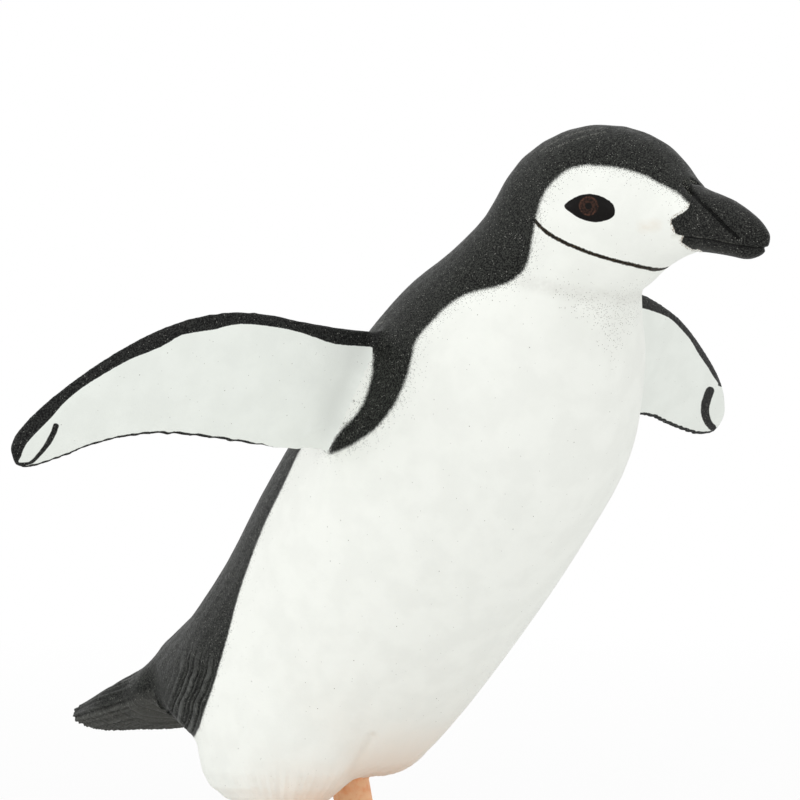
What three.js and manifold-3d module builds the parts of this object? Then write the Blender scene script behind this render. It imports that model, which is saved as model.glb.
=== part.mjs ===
// Hand-painted animal figurine: a penguin that leans forward in mid-stride with both flippers spread.
// Millimetres, +Z up. The figure faces -Y, its left side is +X, and its soles stand on Z = 0.
// The body is two hollow half shells bonded on the middle plane. The beak, the tail, the flippers and
// the feet are separate mouldings that plug into them.

import * as THREE from "three";
import { mergeVertices } from "three/addons/utils/BufferGeometryUtils.js";
import Module from "manifold-3d";

const wasm = await Module();
wasm.setup();

// Fits and walls
const BOND_GAP = 0.3;
const WALL = 2.0;

// Pose of the body: the height of its hip and how far it leans from upright
const HIP_HEIGHT = 15.4;
const LEAN = 41;

// Body sections in the figure's own upright frame. along: up the body from the hip. drift: towards the
// back. nod: how far the section turns forward. Half sizes: to each side, to the back and to the front.
const SECTIONS = {
  vent: { along: -8.4, drift: -2.8, nod: -25, side: 5.3, back: 10.1, front: 3.2 },
  rump: { along: -7.1, drift: -1.5, nod: -16, side: 9.7, back: 16.9, front: 5.6 },
  hip: { along: -2.0, drift: -0.9, nod: -4, side: 12.3, back: 14.0, front: 10.4 },
  lap: { along: 5.0, drift: -0.7, nod: 0, side: 12.2, back: 13.6, front: 12.2 },
  belly: { along: 13.1, drift: -0.6, nod: 0, side: 12.8, back: 14.1, front: 12.8 },
  chest: { along: 21.0, drift: -0.5, nod: 0, side: 13.3, back: 14.1, front: 13.0 },
  breast: { along: 28.0, drift: -0.3, nod: 0, side: 13.4, back: 13.5, front: 13.0 },
  shoulder: { along: 34.6, drift: -0.3, nod: 0, side: 12.9, back: 13.0, front: 12.6 },
  collar: { along: 39.5, drift: 0.0, nod: -2, side: 11.9, back: 12.0, front: 11.4 },
  neckBase: { along: 44.3, drift: 0.5, nod: -4, side: 10.0, back: 10.2, front: 9.7 },
  neck: { along: 48.4, drift: 1.5, nod: 1, side: 8.1, back: 8.5, front: 8.2 },
  nape: { along: 52.4, drift: 1.8, nod: 14, side: 7.4, back: 8.8, front: 7.5 },
  head: { along: 56.6, drift: 0.6, nod: 31, side: 7.1, back: 7.4, front: 7.4 },
  face: { along: 59.8, drift: -2.5, nod: 45, side: 5.1, back: 5.3, front: 5.8 },
  beakBase: { along: 61.8, drift: -6.2, nod: 46, side: 3.0, back: 2.6, front: 3.5 },
  beakMiddle: { along: 63.5, drift: -10.0, nod: 54, side: 2.1, back: 2.3, front: 2.5 },
  beakHook: { along: 64.5, drift: -12.5, nod: 61, side: 1.6, back: 1.7, front: 2.0 },
  beakTip: { along: 65.1, drift: -13.8, nod: 66, side: 0.9, back: 0.9, front: 1.3 },
};
const VENT_END = { along: -9.4, drift: -2.6 };
const BEAK_END = { along: 65.5, drift: -14.3 };
const RINGS_PER_SECTION = 3;
const RING_POINTS = 40;

// Thighs: a lobe of feathers over each leg, placed from the hip. The right one hangs lower in the stride.
const THIGHS = {
  left: { out: 5.2, forward: 2.6, drop: 2.5, side: 5.8, front: 6.6, up: 6.8 },
  right: { out: -5.4, forward: 0.9, drop: 2.9, side: 7.0, front: 9.2, up: 9.1 },
};

// Flippers: the root on the body, the line from there to the tip, and the leading and the trailing edge
// beside that line. The outlines are in shares of the length and of the chord; the two differ a little.
const FLIPPER_ROOT = { out: 12.0, along: 30.6, drift: 5.2 };
const FLIPPER_LENGTH = 34.1;
const FLIPPER_CHORD = 10.0;
const FLIPPER_SWEEP = 11.4;
const FLIPPER_DROOP = 7.6;
const FLIPPER_TILT = 19.7;
const FLIPPER_OUTLINE = {
  left: [
    { span: -0.26, lead: 0.36, trail: -0.52 },
    { span: -0.12, lead: 0.53, trail: -0.58 },
    { span: 0.0, lead: 0.72, trail: -0.54 },
    { span: 0.15, lead: 0.95, trail: -0.41 },
    { span: 0.3, lead: 1.07, trail: -0.26 },
    { span: 0.45, lead: 1.02, trail: -0.12 },
    { span: 0.6, lead: 0.91, trail: -0.02 },
    { span: 0.75, lead: 0.72, trail: -0.07 },
    { span: 0.88, lead: 0.52, trail: -0.1 },
    { span: 0.96, lead: 0.35, trail: -0.08 },
    { span: 1.0, lead: 0.2, trail: -0.03 },
  ],
  right: [
    { span: -0.26, lead: 0.36, trail: -0.52 },
    { span: -0.12, lead: 0.53, trail: -0.58 },
    { span: 0.0, lead: 0.63, trail: -0.54 },
    { span: 0.15, lead: 0.76, trail: -0.41 },
    { span: 0.3, lead: 0.93, trail: -0.26 },
    { span: 0.45, lead: 1.0, trail: -0.11 },
    { span: 0.6, lead: 0.94, trail: 0.01 },
    { span: 0.75, lead: 0.76, trail: 0.02 },
    { span: 0.88, lead: 0.53, trail: -0.06 },
    { span: 0.96, lead: 0.34, trail: -0.09 },
    { span: 1.0, lead: 0.2, trail: -0.04 },
  ],
};
const FLIPPER_THICKNESS = 2.6;
const FLIPPER_TIP_THICKNESS = 1.3;
const FLIPPER_TENON = { deep: 5.5, grip: 4.5, chord: 5.0, thick: 1.5 };

// Tail sections, placed from the hip: behind it, the top and the underside against it, and half width
const TAIL = {
  buried: { behind: 10.5, top: 4.2, under: -2.4, side: 6.4 },
  seat: { behind: 15.5, top: 2.6, under: -5.0, side: 7.2 },
  root: { behind: 19.0, top: 0.6, under: -5.8, side: 6.5 },
  middle: { behind: 23.0, top: -1.4, under: -6.1, side: 6.3 },
  fringe: { behind: 27.0, top: -3.2, under: -6.5, side: 4.9 },
  edge: { behind: 28.8, top: -4.0, under: -6.0, side: 4.1 },
};
const TAIL_END = { behind: 29.4, height: -5.0 };
const TAIL_TENON = { deep: 7.0, grip: 6.0, wide: 4.0, high: 3.0 };

// Beak: its tenon, and the groove of the mouth above the chin
const BEAK_TENON = { deep: 4.2, grip: 2.0, wide: 2.0, high: 2.2 };
const MOUTH = { width: 0.35, deep: 0.45, overChin: 0.9 };

// Legs and feet: out from the middle plane, the knee and the ankle forward of the hip, toes turned out
const LEGS = {
  left: { out: 4.5, knee: -2.0, ankle: 0.8, splay: 9 },
  right: { out: -6.0, knee: 0.2, ankle: -0.6, splay: -9 },
};
const ANKLE_HEIGHT = 1.8;
const ANKLE_RADIUS = 1.8;
const LEG_RADIUS = 1.8;
const PEG_RADIUS = 1.5;
const PEG_BELOW_HIP = 1.4;
const TOE_LENGTH = 14.5;
const SIDE_TOE_LENGTH = 12.8;
const TOE_SPREAD = 20;
const TOE_RADIUS = 1.3;
const TOE_AXIS_HEIGHT = 0.5;
const WEB_THICKNESS = 1.0;
const CLAW_LENGTH = 2.6;
const CLAW_RADIUS = 0.75;

// Locating pins between the two halves, in front of the middle of these sections
const PIN_SEATS = [SECTIONS.belly, SECTIONS.breast, SECTIONS.neck];
const PIN_FORWARD = 2.5;
const PIN_RADIUS = 1.1;
const PIN_LENGTH = 3.0;
const PIN_BOSS_WALL = 1.2;

// Colours
const WHITE = 0xf2f2ee;
const BLACK = 0x2a2b2a;
const FLESH = 0xd98a5e;

const SIDEWAYS = new THREE.Vector3(1, 0, 0);
const REACH = 200;
const radians = THREE.MathUtils.degToRad;

// A point from its distance to the left, forward of the hip and above the ground
function point(left, forward, height) {
  return new THREE.Vector3(left, -forward, height);
}

// The middle-plane point at a place in the leaning body's own frame
function bodyPoint(along, drift) {
  const lean = radians(LEAN);
  const forward = along * Math.sin(lean) - drift * Math.cos(lean);
  const height = HIP_HEIGHT + along * Math.cos(lean) + drift * Math.sin(lean);
  return point(0, forward, height);
}

// The direction from a section's middle to its back
function backOf(nod) {
  const turned = radians(LEAN + nod);
  return point(0, -Math.cos(turned), Math.sin(turned));
}

// A smooth curve through three values of each row
function through(rows, ...keys) {
  const knots = rows.map((row) => new THREE.Vector3(...keys.map((key) => row[key])));
  return new THREE.CatmullRomCurve3(knots, false, "catmullrom");
}

// A closed skin over rings that all run the same way round, with a pole point at either end
function loft(startPole, rings, endPole) {
  const around = rings[0].length;
  const at = (ring, i) => 1 + ring * around + (i % around);
  const last = 1 + rings.length * around;
  const index = [];
  for (let i = 0; i < around; i++) {
    index.push(0, at(0, i + 1), at(0, i));
    for (let ring = 1; ring < rings.length; ring++) {
      index.push(at(ring - 1, i), at(ring - 1, i + 1), at(ring, i));
      index.push(at(ring - 1, i + 1), at(ring, i + 1), at(ring, i));
    }
    index.push(last, at(rings.length - 1, i), at(rings.length - 1, i + 1));
  }
  const geometry = new THREE.BufferGeometry().setFromPoints([startPole, ...rings.flat(), endPole]);
  geometry.setIndex(index);
  return geometry;
}

function middleOf(ring) {
  return ring.reduce((sum, spot) => sum.add(spot), new THREE.Vector3()).divideScalar(ring.length);
}

// A solid for joining and cutting
function solid(geometry) {
  const bare = new THREE.BufferGeometry().setAttribute("position", geometry.getAttribute("position"));
  bare.setIndex(geometry.index);
  const merged = mergeVertices(bare, 1e-4);
  const mesh = new wasm.Mesh({
    numProp: 3,
    vertProperties: Float32Array.from(merged.getAttribute("position").array),
    triVerts: Uint32Array.from(merged.index.array),
  });
  return new wasm.Manifold(mesh);
}

// The geometry of a finished solid
function geometryOf(made) {
  const mesh = made.getMesh();
  const geometry = new THREE.BufferGeometry();
  geometry.setAttribute("position", new THREE.BufferAttribute(mesh.vertProperties, 3));
  geometry.setIndex(new THREE.BufferAttribute(mesh.triVerts, 1));
  geometry.computeVertexNormals();
  return geometry;
}

// A square bar from start to end, with its width along another direction
function bar(start, end, widthways, width, height) {
  const xAxis = end.clone().sub(start).normalize();
  const zAxis = new THREE.Vector3().crossVectors(xAxis, widthways).normalize();
  const yAxis = new THREE.Vector3().crossVectors(zAxis, xAxis);
  const middle = start.clone().add(end).multiplyScalar(0.5);
  const box = new THREE.BoxGeometry(start.distanceTo(end), width, height);
  box.applyMatrix4(new THREE.Matrix4().makeBasis(xAxis, yAxis, zAxis).setPosition(middle));
  return solid(box);
}

// A round bar from start to end
function rod(start, end, startRadius, endRadius) {
  const round = new THREE.CylinderGeometry(endRadius, startRadius, start.distanceTo(end), 20);
  const upright = new THREE.Vector3(0, 1, 0);
  const lengthways = end.clone().sub(start).normalize();
  round.applyQuaternion(new THREE.Quaternion().setFromUnitVectors(upright, lengthways));
  const middle = start.clone().add(end).multiplyScalar(0.5);
  round.translate(middle.x, middle.y, middle.z);
  return solid(round);
}

function ball(centre, radius) {
  const round = new THREE.SphereGeometry(radius, 20, 10);
  round.translate(centre.x, centre.y, centre.z);
  return solid(round);
}

function mirrored(made) {
  return made.mirror([1, 0, 0]);
}

// Everything on one side of the middle plane
function halfSpace(way) {
  const box = new THREE.BoxGeometry(REACH, REACH, REACH);
  box.translate((way * REACH) / 2, 0, 0);
  return solid(box);
}

// Everything above the ground
function aboveGround() {
  const box = new THREE.BoxGeometry(REACH, REACH, REACH);
  box.translate(0, 0, REACH / 2);
  return solid(box);
}

// The rings of the body through some of its sections, each grown by the same amount all round
function bodyRings(sections, grow, ringsPerSection, ringPoints) {
  const path = through(sections, "along", "drift", "nod");
  const size = through(sections, "side", "back", "front");
  const steps = (sections.length - 1) * ringsPerSection;
  const rings = [];
  for (let i = 0; i <= steps; i++) {
    const place = path.getPoint(i / steps);
    const half = size.getPoint(i / steps);
    const centre = bodyPoint(place.x, place.y);
    const back = backOf(place.z);
    const ring = [];
    for (let j = 0; j < ringPoints; j++) {
      const angle = (2 * Math.PI * j) / ringPoints;
      const deep = Math.cos(angle) > 0 ? half.y : half.z;
      const spot = centre.clone().addScaledVector(back, (deep + grow) * Math.cos(angle));
      spot.x = -(half.x + grow) * Math.sin(angle);
      ring.push(spot);
    }
    rings.push(ring);
  }
  return rings;
}

// The outside of torso, neck, head and beak
function torso(grow) {
  const start = bodyPoint(VENT_END.along - grow, VENT_END.drift);
  const end = bodyPoint(BEAK_END.along, BEAK_END.drift - grow);
  const rings = bodyRings(Object.values(SECTIONS), grow, RINGS_PER_SECTION, RING_POINTS);
  return solid(loft(start, rings, end));
}

function thigh(side, grow) {
  const { out, forward, drop, side: halfWidth, front, up } = THIGHS[side];
  const ball = new THREE.SphereGeometry(1, 24, 16);
  ball.rotateX(Math.PI / 2);
  ball.scale(halfWidth + grow, front + grow, up + grow);
  const centre = point(out, forward, HIP_HEIGHT - drop);
  ball.translate(centre.x, centre.y, centre.z);
  return solid(ball);
}

// The outside of the whole body
function skin(grow) {
  return torso(grow).add(thigh("left", grow)).add(thigh("right", grow));
}

// The hollow of the shell, from above the hips to the head
function hollow() {
  const { lap, belly, chest, breast, shoulder, collar, neckBase, neck, nape, head } = SECTIONS;
  const inside = [lap, belly, chest, breast, shoulder, collar, neckBase, neck, nape, head];
  const rings = bodyRings(inside, -WALL, 2, RING_POINTS / 2);
  return solid(loft(middleOf(rings[0]), rings, middleOf(rings[rings.length - 1])));
}

// The root of the left flipper with its span, chord and face directions
function flipperAxes() {
  const root = bodyPoint(FLIPPER_ROOT.along, FLIPPER_ROOT.drift).setX(FLIPPER_ROOT.out);
  const sweep = radians(FLIPPER_SWEEP);
  const droop = radians(FLIPPER_DROOP);
  const flat = Math.cos(droop);
  const spanwise = point(flat * Math.cos(sweep), -flat * Math.sin(sweep), -Math.sin(droop));
  const tilt = radians(FLIPPER_TILT);
  const chordwise = point(0, Math.sin(tilt), Math.cos(tilt));
  chordwise.addScaledVector(spanwise, -chordwise.dot(spanwise)).normalize();
  const outward = new THREE.Vector3().crossVectors(spanwise, chordwise);
  return { root, spanwise, chordwise, outward };
}

// A blade in the left flipper's place with the outline of one side
function flipperBlade(side) {
  const { root, spanwise, chordwise, outward } = flipperAxes();
  const outline = through(FLIPPER_OUTLINE[side], "span", "lead", "trail");
  const steps = 22;
  const around = 20;
  const rings = [];
  for (let i = 0; i <= steps; i++) {
    const edge = outline.getPoint(i / steps);
    const thickness = THREE.MathUtils.lerp(FLIPPER_THICKNESS, FLIPPER_TIP_THICKNESS, Math.max(edge.x, 0));
    const ring = [];
    for (let j = 0; j < around; j++) {
      const angle = (2 * Math.PI * j) / around;
      const toLead = (1 + Math.cos(angle)) / 2;
      const bulk = (thickness / 2) * Math.sin(angle) * (0.55 + 0.45 * toLead);
      const spot = root.clone().addScaledVector(spanwise, edge.x * FLIPPER_LENGTH);
      spot.addScaledVector(chordwise, FLIPPER_CHORD * THREE.MathUtils.lerp(edge.z, edge.y, toLead));
      ring.push(spot.addScaledVector(outward, bulk));
    }
    rings.push(ring);
  }
  const end = middleOf(rings[steps]).addScaledVector(spanwise, FLIPPER_TIP_THICKNESS / 2);
  return solid(loft(middleOf(rings[0]), rings, end));
}

function flipperTenon(grow) {
  const { root, spanwise, chordwise } = flipperAxes();
  const start = root.clone().addScaledVector(spanwise, -FLIPPER_TENON.deep - grow);
  const end = root.clone().addScaledVector(spanwise, FLIPPER_TENON.grip + grow);
  return bar(start, end, chordwise, FLIPPER_TENON.chord + 2 * grow, FLIPPER_TENON.thick + 2 * grow);
}

function flipper(side) {
  return flipperBlade(side).subtract(skin(BOND_GAP)).add(flipperTenon(0));
}

function tailWedge() {
  const sections = Object.values(TAIL);
  const heights = through(sections, "behind", "top", "under");
  const widths = through(sections, "side", "side", "side");
  const steps = (sections.length - 1) * 3;
  const around = 28;
  const rings = [];
  for (let i = 0; i <= steps; i++) {
    const { x: behind, y: top, z: under } = heights.getPoint(i / steps);
    const side = widths.getPoint(i / steps).x;
    const ring = [];
    for (let j = 0; j < around; j++) {
      const angle = (2 * Math.PI * j) / around;
      const height = HIP_HEIGHT + (top + under) / 2 + ((top - under) / 2) * Math.cos(angle);
      ring.push(point(side * Math.sin(angle), -behind, height));
    }
    rings.push(ring);
  }
  const end = point(0, -TAIL_END.behind, HIP_HEIGHT + TAIL_END.height);
  return solid(loft(middleOf(rings[0]), rings, end));
}

function tailTenon(grow) {
  const { seat } = TAIL;
  const centre = point(0, -seat.behind, HIP_HEIGHT + (seat.top + seat.under) / 2);
  const tip = point(0, -TAIL_END.behind, HIP_HEIGHT + TAIL_END.height);
  const rearwards = tip.sub(centre).normalize();
  const start = centre.clone().addScaledVector(rearwards, -TAIL_TENON.deep - grow);
  const end = centre.clone().addScaledVector(rearwards, TAIL_TENON.grip + grow);
  return bar(start, end, SIDEWAYS, TAIL_TENON.wide + 2 * grow, TAIL_TENON.high + 2 * grow);
}

// The middle of the beak's seat and the direction from there to its tip
function beakAxis() {
  const { beakBase } = SECTIONS;
  const seat = bodyPoint(beakBase.along, beakBase.drift);
  const back = backOf(beakBase.nod);
  return { seat, forwards: new THREE.Vector3(0, -back.z, back.y) };
}

// Everything in front of the beak's seat, from a gap ahead of it
function beakSide(gap) {
  const { seat, forwards } = beakAxis();
  const start = seat.clone().addScaledVector(forwards, gap);
  const end = start.clone().addScaledVector(forwards, REACH);
  return bar(start, end, SIDEWAYS, REACH, REACH);
}

function beakTenon(grow) {
  const { seat, forwards } = beakAxis();
  const start = seat.clone().addScaledVector(forwards, -BEAK_TENON.deep - grow);
  const end = seat.clone().addScaledVector(forwards, BEAK_TENON.grip + grow);
  return bar(start, end, SIDEWAYS, BEAK_TENON.wide + 2 * grow, BEAK_TENON.high + 2 * grow);
}

// The groove between the upper and the lower bill, of even depth all round
function mouthGroove() {
  const { beakBase, beakTip } = SECTIONS;
  const corner = bodyPoint(beakBase.along, beakBase.drift);
  corner.addScaledVector(backOf(beakBase.nod), MOUTH.overChin - beakBase.front);
  const tip = bodyPoint(beakTip.along, beakTip.drift);
  const onwards = tip.sub(corner).normalize();
  const start = corner.clone().addScaledVector(onwards, -MOUTH.overChin);
  const end = corner.clone().addScaledVector(onwards, REACH);
  return bar(start, end, SIDEWAYS, REACH, MOUTH.width).subtract(torso(-MOUTH.deep));
}

function beak() {
  return torso(0).subtract(mouthGroove()).intersect(beakSide(BOND_GAP)).add(beakTenon(0));
}

// Where a leg's knee, inside the thigh, and its ankle stand
function legLine(side) {
  const { out, knee, ankle } = LEGS[side];
  return {
    knee: point(out, knee, HIP_HEIGHT - THIGHS[side].drop),
    ankle: point(out, ankle, ANKLE_HEIGHT),
  };
}

function legPeg(side, grow) {
  const { knee, ankle } = legLine(side);
  const upwards = knee.clone().sub(ankle);
  const rise = (HIP_HEIGHT - PEG_BELOW_HIP + grow - ankle.z) / upwards.z;
  const top = ankle.clone().addScaledVector(upwards, rise);
  return rod(ankle, top, PEG_RADIUS + grow, PEG_RADIUS + grow);
}

// A toe that runs forward from the ankle, with its claw
function toe(length) {
  const around = 14;
  const steps = 6;
  const rings = [];
  for (let i = 0; i <= steps; i++) {
    const share = i / steps;
    const radius = TOE_RADIUS * (1.15 - 0.35 * share);
    const ring = [];
    for (let j = 0; j < around; j++) {
      const angle = (-2 * Math.PI * j) / around;
      const height = TOE_AXIS_HEIGHT + 0.85 * radius * Math.cos(angle);
      ring.push(point(radius * Math.sin(angle), length * share, height));
    }
    rings.push(ring);
  }
  const heel = point(0, -TOE_RADIUS, TOE_AXIS_HEIGHT);
  const tip = point(0, length + TOE_RADIUS / 2, TOE_AXIS_HEIGHT);
  const claw = new THREE.ConeGeometry(CLAW_RADIUS, CLAW_LENGTH, 10);
  claw.rotateX(Math.PI);
  claw.translate(0, -length - CLAW_LENGTH / 2, TOE_AXIS_HEIGHT);
  return solid(loft(heel, rings, tip)).add(solid(claw));
}

// The skin between the toes, scalloped at the front
function web() {
  const spread = radians(TOE_SPREAD);
  const reach = SIDE_TOE_LENGTH * 0.94;
  const notch = SIDE_TOE_LENGTH * 0.76;
  const outline = new THREE.Shape();
  outline.moveTo(0, TOE_RADIUS);
  outline.lineTo(-reach * Math.sin(spread), -reach * Math.cos(spread));
  outline.quadraticCurveTo(-notch * Math.sin(spread / 2), -notch * Math.cos(spread / 2), 0, -reach);
  const side = [reach * Math.sin(spread), -reach * Math.cos(spread)];
  outline.quadraticCurveTo(notch * Math.sin(spread / 2), -notch * Math.cos(spread / 2), ...side);
  outline.closePath();
  const settings = { depth: WEB_THICKNESS, bevelEnabled: false, curveSegments: 8 };
  return solid(new THREE.ExtrudeGeometry(outline, settings));
}

function foot(side) {
  const { knee, ankle } = legLine(side);
  const splay = LEGS[side].splay;
  let made = web().add(toe(TOE_LENGTH));
  made = made.add(toe(SIDE_TOE_LENGTH).rotate([0, 0, TOE_SPREAD]));
  made = made.add(toe(SIDE_TOE_LENGTH).rotate([0, 0, -TOE_SPREAD]));
  made = made.rotate([0, 0, splay]).translate([ankle.x, ankle.y, 0]);
  const heel = ankle.clone().setZ(0);
  made = made.add(rod(heel, ankle, ANKLE_RADIUS, ANKLE_RADIUS)).add(ball(ankle, ANKLE_RADIUS));
  made = made.add(rod(ankle, knee, ANKLE_RADIUS, LEG_RADIUS));
  made = made.subtract(skin(BOND_GAP)).add(legPeg(side, 0));
  return made.intersect(aboveGround());
}

// The middle line of a locating pin between two distances to the left
function pinLine(seat, from, to) {
  const centre = bodyPoint(seat.along, seat.drift - PIN_FORWARD);
  return [centre.clone().setX(from), centre.clone().setX(to)];
}

// The bonded shell before it is parted: hollow, with a boss for each pin and a socket for each plug
function shell() {
  let made = skin(0).subtract(hollow());
  const bossRadius = PIN_RADIUS + BOND_GAP + PIN_BOSS_WALL;
  const core = torso(-WALL / 2);
  for (const seat of PIN_SEATS) {
    const boss = rod(...pinLine(seat, -seat.side, seat.side), bossRadius, bossRadius);
    made = made.add(boss.intersect(core));
  }
  const flipperSocket = flipperTenon(BOND_GAP);
  const plugs = [flipperSocket, mirrored(flipperSocket), tailTenon(BOND_GAP), beakTenon(BOND_GAP)];
  plugs.push(beakSide(0), legPeg("left", BOND_GAP), legPeg("right", BOND_GAP));
  return plugs.reduce((left, plug) => left.subtract(plug), made);
}

// The two halves: pins on the left one and their holes in the right one
function halves() {
  const whole = shell();
  let left = whole.intersect(halfSpace(1));
  let right = whole.intersect(halfSpace(-1));
  const hole = PIN_RADIUS + BOND_GAP;
  for (const seat of PIN_SEATS) {
    left = left.add(rod(...pinLine(seat, PIN_LENGTH, -PIN_LENGTH), PIN_RADIUS, PIN_RADIUS));
    right = right.subtract(rod(...pinLine(seat, PIN_LENGTH, -PIN_LENGTH - BOND_GAP), hole, hole));
  }
  return { left, right };
}

const figure = new THREE.Group();
figure.name = "figure";

function addPiece(name, made, color) {
  const material = new THREE.MeshStandardMaterial({ color, roughness: 0.6 });
  const mesh = new THREE.Mesh(geometryOf(made), material);
  mesh.name = name;
  figure.add(mesh);
}

const body = halves();
addPiece("body_left_half", body.left, WHITE);
addPiece("body_right_half", body.right, WHITE);
addPiece("beak", beak(), BLACK);
addPiece("tail", tailWedge().subtract(skin(BOND_GAP)).add(tailTenon(0)), BLACK);
addPiece("flipper_left", flipper("left"), WHITE);
addPiece("flipper_right", mirrored(flipper("right")), WHITE);
addPiece("foot_left", foot("left"), FLESH);
addPiece("foot_right", foot("right"), FLESH);

// The origin stands under the middle of the figure
const extent = new THREE.Box3().setFromObject(figure);
figure.position.y = -(extent.min.y + extent.max.y) / 2;

export default figure;
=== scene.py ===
# A hand-painted penguin figurine. One fine skin is drawn over all its mouldings, carved with the grooves
# and feathers, painted, and parted again where the mouldings join.
import math

import bmesh
import bpy
import numpy as np
from mathutils import Matrix, Vector
from mathutils.kdtree import KDTree


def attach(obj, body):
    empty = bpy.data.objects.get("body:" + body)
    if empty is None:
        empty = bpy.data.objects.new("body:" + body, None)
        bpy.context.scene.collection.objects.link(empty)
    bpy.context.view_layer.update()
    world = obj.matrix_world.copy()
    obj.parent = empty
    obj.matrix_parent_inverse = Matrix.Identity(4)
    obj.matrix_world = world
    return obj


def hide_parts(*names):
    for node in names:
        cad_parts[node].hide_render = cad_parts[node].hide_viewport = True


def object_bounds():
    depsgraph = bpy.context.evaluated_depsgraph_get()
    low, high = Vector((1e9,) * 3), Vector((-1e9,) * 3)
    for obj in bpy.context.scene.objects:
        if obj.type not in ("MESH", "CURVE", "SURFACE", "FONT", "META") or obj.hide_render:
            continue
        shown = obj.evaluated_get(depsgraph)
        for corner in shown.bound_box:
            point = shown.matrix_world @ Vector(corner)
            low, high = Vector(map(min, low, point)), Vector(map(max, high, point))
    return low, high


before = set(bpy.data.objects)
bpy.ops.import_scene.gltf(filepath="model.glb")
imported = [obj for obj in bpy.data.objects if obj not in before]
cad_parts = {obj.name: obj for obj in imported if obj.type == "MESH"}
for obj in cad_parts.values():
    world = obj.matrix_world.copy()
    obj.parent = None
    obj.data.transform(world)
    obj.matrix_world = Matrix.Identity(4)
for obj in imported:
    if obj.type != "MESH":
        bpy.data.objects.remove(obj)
CAD_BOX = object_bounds()

# Lengths are in millimetres up to the finished pieces
MM = 0.001

# Camera: where it looks, from which side and how wide its view is there
PHOTO_SIDE = 800
CAMERA_AZIMUTH = -46
CAMERA_ELEVATION = 2
CAMERA_DISTANCE = 450
CAMERA_WIDTH = 72
CAMERA_TARGET = (0, 1.48, 41.1)
SENSOR = 36
CLIP_START = 10
PIXEL = CAMERA_WIDTH / PHOTO_SIDE

# Mouldings that are handled alike
BODY = ("body_left_half", "body_right_half")
FLIPPERS = ("flipper_left", "flipper_right")

# Skin: its mesh, the joints that the paint fills, and how far facets are eased on each moulding
VOXEL = 0.25
JOINT_FILL = 0.2
EASING = {
    "body_left_half": 1.0, "body_right_half": 1.0, "tail": 0.5, "beak": 0.2,
    "flipper_left": 0.15, "flipper_right": 0.15, "foot_left": 0.12, "foot_right": 0.12,
}
EASING_ROUNDS, EASING_BLUR = 60, 12
EASING_IN, EASING_OUT = 0.55, -0.57
OWNER_ROUNDS = 10

# Places with smaller faces, in pixels of the photograph, and how these are eased
FACE_LEFT, FACE_TOP, FACE_BOTTOM = 530, 160, 280
FLANK_TOP, FLANK_RIGHT = 640, 210
FINE_EASING, FINE_ROUNDS = 0.8, 4

# Flippers: where they begin, and how far their leading and trailing edges move outward on each side
FLIPPERS_FROM = 13.6
FLIPPER_EDGES = {-1: (0.16, 0.42), 1: (0.28, 0.32)}
FLIPPER_STATIONS = 40

# Hollow creases that are rounded: rounds of filling, and its share at the tail, the flippers and the thighs
FILLING_ROUNDS, NORMALS_EVERY, RELAXING_ROUNDS = 200, 8, 40
TAIL_FILLING, FLIPPER_FILLING, THIGH_FILLING = 1.0, 0.15, 0.4
SKIRT_HEIGHT, THIGH_HEIGHT = 10.8, 14.0
LEAST_SHARE, RELAXED_SHARES = 0.01, (0.4, 0.9)
CREASE_BLUR = 120

# Sprayed black in pixels of the photograph. The hood goes along the face and the neck to the tip of the
# shoulder band, back up the band and round outside. The back goes down its border with the flank.
HOOD = [
    (690, 204), (676, 192), (660, 184), (643, 175), (623, 169), (602, 166), (582, 166), (566, 171),
    (551, 184), (543, 196), (538, 210), (535, 224), (532, 241), (529, 256), (524, 267), (516, 276),
    (502, 284), (478, 290), (461, 296), (444, 309), (431, 322), (420, 335), (414, 347), (409, 369),
    (401, 392), (387, 416), (368, 435), (344, 449), (328, 453), (340, 431), (351, 420), (362, 405),
    (370, 383), (373, 362), (372, 346), (371, 335), (330, 300), (420, 200), (480, 100), (600, 40),
    (800, 60), (800, 200), (740, 222), (706, 210),
]
BACK = [
    (374, 335), (345, 378), (318, 420), (300, 450), (281, 490), (262, 530), (240, 590), (228, 635),
    (215, 680), (205, 709), (193, 739), (150, 790), (20, 790), (20, 560), (240, 380), (340, 300),
]

# Brushed black round the gape, ending outside the beak
GAPE = [
    (690, 203), (685, 211), (677, 216), (671, 221), (674, 228), (675, 233), (682, 237), (682, 242),
    (688, 247), (695, 250), (703, 252), (740, 290), (830, 260), (820, 120), (700, 165),
]

# Eye and the line under the chin
EYE = [
    (564, 206), (572, 199), (581, 195), (591, 194), (603, 197), (612, 203), (615, 210), (613, 217),
    (604, 221), (593, 222), (581, 219), (571, 213),
]
IRIS = (589, 206)
STRAP = [
    (531, 214), (537, 223), (549, 234), (574, 247), (610, 260), (646, 268), (662, 270), (690, 270),
]

# Brushed edges of the flippers and the hooked mark by each tip
RIGHT_STRIPE = [
    (392, 350), (372, 347), (335, 344), (308, 335), (281, 328), (241, 324), (212, 330), (182, 335),
    (161, 347), (129, 360), (91, 382), (67, 400), (51, 418), (27, 443), (18, 462),
    (0, 480), (-30, 440), (60, 340), (230, 280), (392, 300),
]
LEFT_STRIPE = [
    (540, 316), (580, 311), (614, 308), (640, 308), (652, 311), (663, 315), (672, 320), (682, 330),
    (691, 341), (698, 353), (707, 366), (713, 376), (718, 383), (722, 387), (760, 392), (700, 280),
    (540, 220),
]
RIGHT_MARK = [(56, 426), (52, 436), (46, 446), (38, 456), (30, 463), (20, 464)]
LEFT_MARK = [(710, 391), (706, 402), (705, 413), (708, 422), (713, 428)]

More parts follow.
